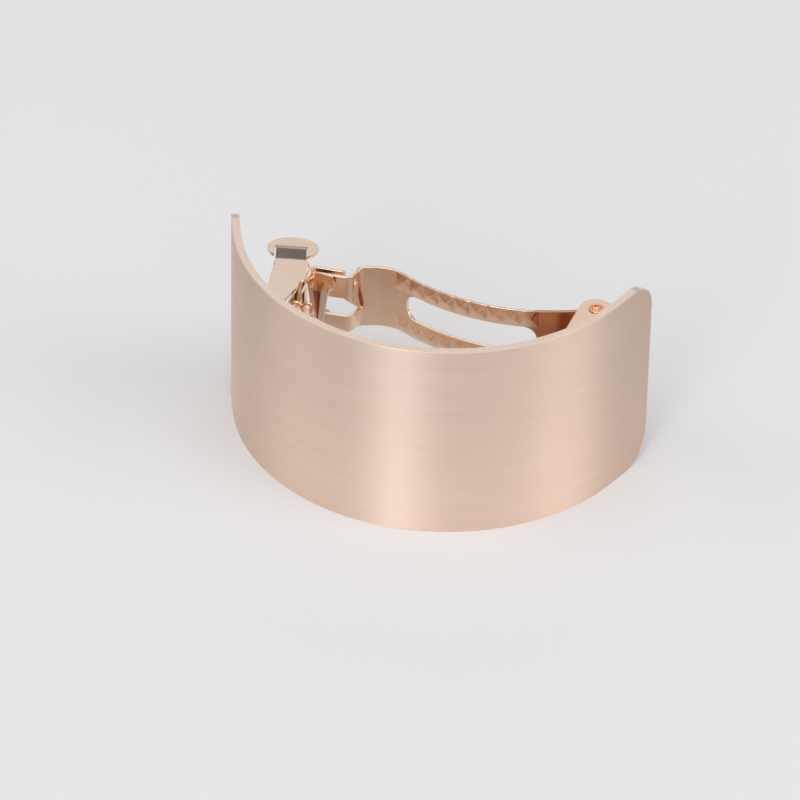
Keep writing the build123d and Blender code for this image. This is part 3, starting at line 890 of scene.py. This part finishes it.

# %% [markdown]
# The arm's plating is warm and a little softer than the catch's. Near the hinge its colour
# shifts over a few millimetres of the object's X to a deep copper tone, a painted reflection
# of the plate's gold inner wall.

# %% Arm finish
arm_metal = polished_metal(
    "arm_rose_gold", (0.97, 0.71, 0.53), (1.0, 0.78, 0.61), 0.16, 0.28, 0.15)
# Painted reflection: the deep copper near the hinge stands in for the gold wall the arm mirrors
# there.
painted_reflection_tone, reflection_from, reflection_to = (0.66, 0.33, 0.19, 1), 13.6 * MM, 16.0 * MM
arm_nodes = arm_metal.node_tree
plated = arm_nodes.nodes["Principled BSDF"].inputs["Base Color"]
along_clip = node(arm_nodes, "ShaderNodeSeparateXYZ")
arm_nodes.links.new(node(arm_nodes, "ShaderNodeTexCoord").outputs["Object"], along_clip.inputs[0])
near_hinge = node(arm_nodes, "ShaderNodeMapRange", interpolation_type="SMOOTHSTEP")
near_hinge.inputs["From Min"].default_value = reflection_from
near_hinge.inputs["From Max"].default_value = reflection_to
arm_nodes.links.new(along_clip.outputs["X"], near_hinge.inputs["Value"])
reflected_mix = node(arm_nodes, "ShaderNodeMix", data_type="RGBA")
ends = [socket for socket in reflected_mix.inputs if socket.type == "RGBA"]
ends[1].default_value = painted_reflection_tone
arm_nodes.links.new(near_hinge.outputs["Result"], reflected_mix.inputs[0])
arm_nodes.links.new(plated.links[0].from_socket, ends[0])
arm_nodes.links.new(next(out for out in reflected_mix.outputs if out.type == "RGBA"), plated)
print("arm finish:", len(arm_nodes.nodes), "nodes")

# %% [markdown]
# The tree's result is a single surface. Solidify gives it the sheet's thickness, and Bevel
# rounds the cut edges by a fixed distance along the edges beside them, which keeps narrow
# corners clean.

# %% Arm
def sheet_finish(piece, thickness, rounding, offset=0.0):
    """Gives a single surface its sheet thickness and lightly rounded cut edges."""
    for polygon in piece.data.polygons:
        polygon.use_smooth = True
    wall = piece.modifiers.new("sheet_thickness", "SOLIDIFY")
    wall.thickness = thickness * MM
    wall.offset = offset
    rims = piece.modifiers.new("rounded_rims", "BEVEL")
    rims.width = rounding * MM
    rims.offset_type = "ABSOLUTE"
    rims.segments = 2
    rims.limit_method = "ANGLE"
    rims.angle_limit = math.radians(60)
    rims.use_clamp_overlap = False
    rims.harden_normals = True


blank_object = bpy.data.objects.new("arm_blank", blank_mesh)
bpy.context.scene.collection.objects.link(blank_object)
arm_inputs = {**arm_sizes, "Blank": blank_object, "Plan line": path}
arm = grow("toothed_arm", press_tree, arm_inputs, [arm_metal])
bpy.data.objects.remove(blank_object)
bpy.data.objects.remove(path)
sheet_finish(arm, sheet, rounding=0.1)
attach(arm, "arm")
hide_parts("clasp_arm")

# %% [markdown]
# Small pressed forms of the catch stand in front of the arm's free end. They are too small
# and irregular for a rule, so they are placed by points in millimetres: along the chord,
# depth from the plate's apex, and height from the middle. A sheet form is a few facets with
# a thickness, and a wire form is a smooth bar through its points.

# %% Helpers for small pieces
def clip_place(x, y, z):
    """A point given in the clip's own millimetres."""
    return Vector((x, y + arm_depth, z + mid_height)) * MM


def small_piece(name, mesh, metals, body):
    """Adds a small mesh that rides with the clip's body, or with the arm."""
    mesh.materials.clear()
    for metal in metals:
        mesh.materials.append(metal)
    piece = bpy.data.objects.new(name, mesh)
    bpy.context.scene.collection.objects.link(piece)
    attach(piece, body)
    print(name, "has", len(mesh.polygons), "faces")
    return piece


def facets(name, points, faces, metal_of, metals, body):
    """Flat facets through a list of points, each with one of the metals."""
    mesh = bpy.data.meshes.new(name)
    mesh.from_pydata([clip_place(*point) for point in points], [], [f[::-1] for f in faces])
    piece = small_piece(name, mesh, metals, body)
    for polygon, corners in zip(mesh.polygons, faces):
        polygon.material_index = metal_of.get(corners, 0)
    return piece


def round_bar(name, points, radius, metal, body="clip_body"):
    """A smooth round bar through a few points."""
    line = bpy.data.curves.new(name, "CURVE")
    line.dimensions = "3D"
    line.bevel_depth = radius * MM
    line.use_fill_caps = True
    run = line.splines.new("NURBS")
    run.points.add(len(points) - 1)
    run.order_u = 3
    run.use_endpoint_u = True
    for point, spot in zip(run.points, points):
        point.co = (*clip_place(*spot), 1)
    guide = bpy.data.objects.new(name, line)
    bpy.context.scene.collection.objects.link(guide)
    graph = bpy.context.evaluated_depsgraph_get()
    mesh = bpy.data.meshes.new_from_object(guide.evaluated_get(graph))
    bpy.data.objects.remove(guide)
    return small_piece(name, mesh, [metal], body)


print("middle of the clip at", [round(v, 4) for v in clip_place(0, 0, 0)])

# %% [markdown]
# The hook plate is folded from thin sheet: a golden block at its top, and below it a tapering
# plate with a groove. The block's deeper orange is a painted reflection of the gold round it,
# and the groove is painted dark red as painted shadow. Its facets stay flat, because soft
# shading would melt the crisp folds.

# %% Hook of the catch
# Painted light: the hook's deeper orange is painted reflection, the groove's dark red painted
# shadow.
painted_reflection_gold = polished_metal(
    "hook_gold_painted_reflection", (0.88, 0.52, 0.31), (0.96, 0.64, 0.43), 0.10, 0.20)
painted_shadow_metal = polished_metal(
    "hook_painted_shadow", (0.42, 0.13, 0.07), (0.50, 0.18, 0.10), 0.3, 0.4)
hook_points = [
    (-21.9, 30.95, 4.7), (-21.2, 31.1, 5.75), (-19.7, 31.12, 5.85), (-17.7, 31.1, 5.6),
    (-17.6, 30.9, 4.0), (-17.95, 30.8, 3.5), (-18.65, 30.75, 3.2), (-19.5, 30.45, 2.9),
    (-20.9, 30.4, 2.95), (-21.75, 30.75, 2.85), (-20.95, 31.05, -3.2), (-20.15, 30.85, -3.5),
    (-19.3, 31.05, -3.8), (-20.6, 30.8, 4.9), (-19.0, 30.65, 4.5), (-20.2, 30.85, 2.6),
]
block_faces = [
    (0, 1, 13), (1, 2, 13), (2, 14, 13), (2, 3, 14), (3, 4, 14), (4, 5, 6, 14), (14, 6, 7),
    (13, 14, 7), (13, 7, 15), (13, 15, 8), (13, 8, 9), (0, 13, 9),
]
plate_faces = [(9, 8, 11, 10), (7, 6, 12, 11)]
shadowed_faces = [(8, 15, 11), (15, 7, 11)]
hook_faces = block_faces + [plate_faces[0]] + shadowed_faces + [plate_faces[1]]
metal_of = {**dict.fromkeys(plate_faces, 1), **dict.fromkeys(shadowed_faces, 2)}
hook_metals = [painted_reflection_gold, catch_metal, painted_shadow_metal]
hook = facets("latch_hook", hook_points, hook_faces, metal_of, hook_metals, "clip_body")
sheet_finish(hook, thickness=0.25, rounding=0.05, offset=1.0)
for polygon in hook.data.polygons:
    polygon.use_smooth = False

# %% [markdown]
# Four wire-like forms go with the hook: the round band that carries it, the rolled edge on
# its right, painted near white as a painted highlight, and two curled tabs on the bar in the
# hook's painted-reflection orange.

# %% Band, rolled edge and curled tabs
band_metal = polished_metal(
    "band_gold", (0.96, 0.66, 0.44), (1.0, 0.75, 0.54), 0.38, 0.46)
# Painted highlight: the near-white colour stands in for the bright line of light along the edge.
painted_highlight_metal = polished_metal(
    "edge_painted_highlight", (0.98, 0.89, 0.83), (1.0, 0.94, 0.90), 0.3, 0.4)
round_bar("latch_band", [
    (-21.8, 30.9, 4.3), (-21.6, 30.0, 4.6), (-21.5, 28.8, 5.3), (-21.7, 28.2, 5.95),
    (-21.96, 27.8, 6.2), (-22.23, 27.6, 5.5), (-22.32, 27.6, 4.2), (-22.2, 27.6, 3.0),
    (-22.1, 27.4, 2.2), (-21.8, 26.0, 1.2), (-21.6, 24.0, 0.8)], 0.32, band_metal)
round_bar("rolled_hook_edge", [
    (-17.65, 30.85, 4.9), (-17.5, 30.7, 4.0), (-17.8, 30.6, 3.4), (-18.4, 30.5, 3.1),
    (-18.65, 30.55, 2.0), (-19.4, 30.8, -3.8)], 0.17, painted_highlight_metal)
round_bar("left_curl", [
    (-22.8, 24, 3.4), (-22.5, 24, 4.4), (-21.4, 24, 4.7), (-20.9, 24, 4.0)], 0.3, painted_reflection_gold)
round_bar("right_curl", [
    (-20.8, 24, 3.5), (-20.4, 24, 4.6), (-19.6, 24, 4.9), (-19.1, 24, 4.1),
    (-19.3, 24, 3.2)], 0.33, painted_reflection_gold)

# %% [markdown]
# Where the window's point meets the step, the sheet is pushed out to a small leaf-shaped lip
# with a rolled right edge. Its right half is painted dark as painted shade, and the rolled edge
# takes the hook's painted-reflection orange. It is part of the arm and turns with it.

# %% Lip of the window
lip_points = [
    (-14.16, 33.4, 4.08), (-14.83, 32.79, 3.4), (-15.14, 32.4, 2.62), (-15.01, 32.24, 1.67),
    (-14.38, 32.36, 0.54), (-13.46, 32.67, -0.6), (-13.09, 32.94, -0.47), (-13.21, 33.14, 0.65),
    (-13.58, 33.25, 1.98), (-13.86, 33.35, 3.13), (-14.24, 33.31, 2.58), (-14.18, 33.05, 1.39),
    (-13.91, 32.92, 0.16),
]
pale_half = (0, 1, 2, 3, 4, 5, 12, 11, 10)
shaded_half = (0, 10, 11, 12, 5, 6, 7, 8, 9)
lip_metals = [inner_metal, painted_shadow_metal]
lip = facets("window_lip", lip_points, [pale_half, shaded_half], {shaded_half: 1}, lip_metals, "arm")
sheet_finish(lip, thickness=0.2, rounding=0.04)
for polygon in lip.data.polygons:
    polygon.use_smooth = False
round_bar("lip_edge", [
    (-14.16, 33.3, 4.08), (-13.86, 33.2, 3.13), (-13.55, 33.1, 1.98), (-13.18, 33.0, 0.65),
    (-13.1, 32.8, -0.47), (-13.46, 32.6, -0.6)], 0.17, painted_reflection_gold, "arm")
